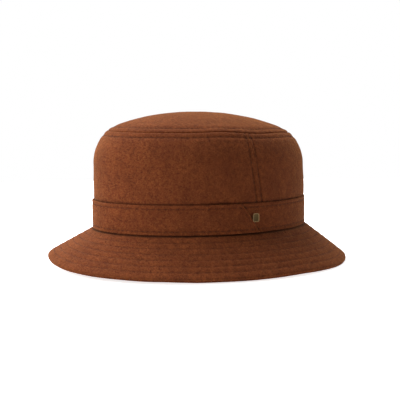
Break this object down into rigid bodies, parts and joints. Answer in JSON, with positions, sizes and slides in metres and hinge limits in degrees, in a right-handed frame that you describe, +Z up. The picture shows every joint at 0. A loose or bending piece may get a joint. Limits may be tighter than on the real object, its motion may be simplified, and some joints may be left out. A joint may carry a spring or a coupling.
{
  "type": "bucket hat",
  "caption": "Soft brown wool bucket hat with an oval domed crown, a sewn band with a small bare metal badge, a sloping brim quilted by rows of stitching, and a lined inside.",
  "frame": {"origin": "on the surface that the brim's edge rests on, under the middle of the crown", "axes": "+Z up through the crown, -Y to the front of the hat, +X to the wearer's left, where the badge is"},
  "size_m": [0.2636, 0.2908, 0.1436],
  "materials": {
    "wool_melton": "matt fulled wool with a short fuzzy nap",
    "lining": "smooth satin-backed twill lining with a low sheen",
    "cotton_twill": "fine twill weave, matt",
    "seam_tape": "plain woven tape, matt",
    "interlining": "stiff bonded cloth, matt",
    "woven_tab": "dense woven satin, blank",
    "thread": "spun polyester sewing thread",
    "badge_brass": "aged brass, softly polished border",
    "washer_steel": "plain stamped steel"
  },
  "bodies": {
    "hat": {"tip_panel": "wool_melton", "side_panel_front": "wool_melton", "side_panel_back": "wool_melton", "tip_seam_tape": "seam_tape", "lining_tip": "lining", "lining_side_front": "lining", "lining_side_back": "lining", "sweatband": "cotton_twill", "hat_band": "wool_melton", "badge": "badge_brass", "badge_washer": "washer_steel", "brim_top": "wool_melton", "brim_interlining": "interlining", "brim_under": "wool_melton", "brim_stitches": "thread", "band_stitches": "thread", "tip_seam_stitches": "thread", "side_seam_stitches": "thread", "sweatband_stitches": "thread"},
    "tab": {"size_tab": "woven_tab"}
  },
  "joints": [
    {"name": "tab_flip", "type": "hinge", "parent": "hat", "child": "tab", "pos_m": [0, 0.09772, 0.06906], "axis": [-1, 0, 0], "range_deg": [0, 120]}
  ]
}
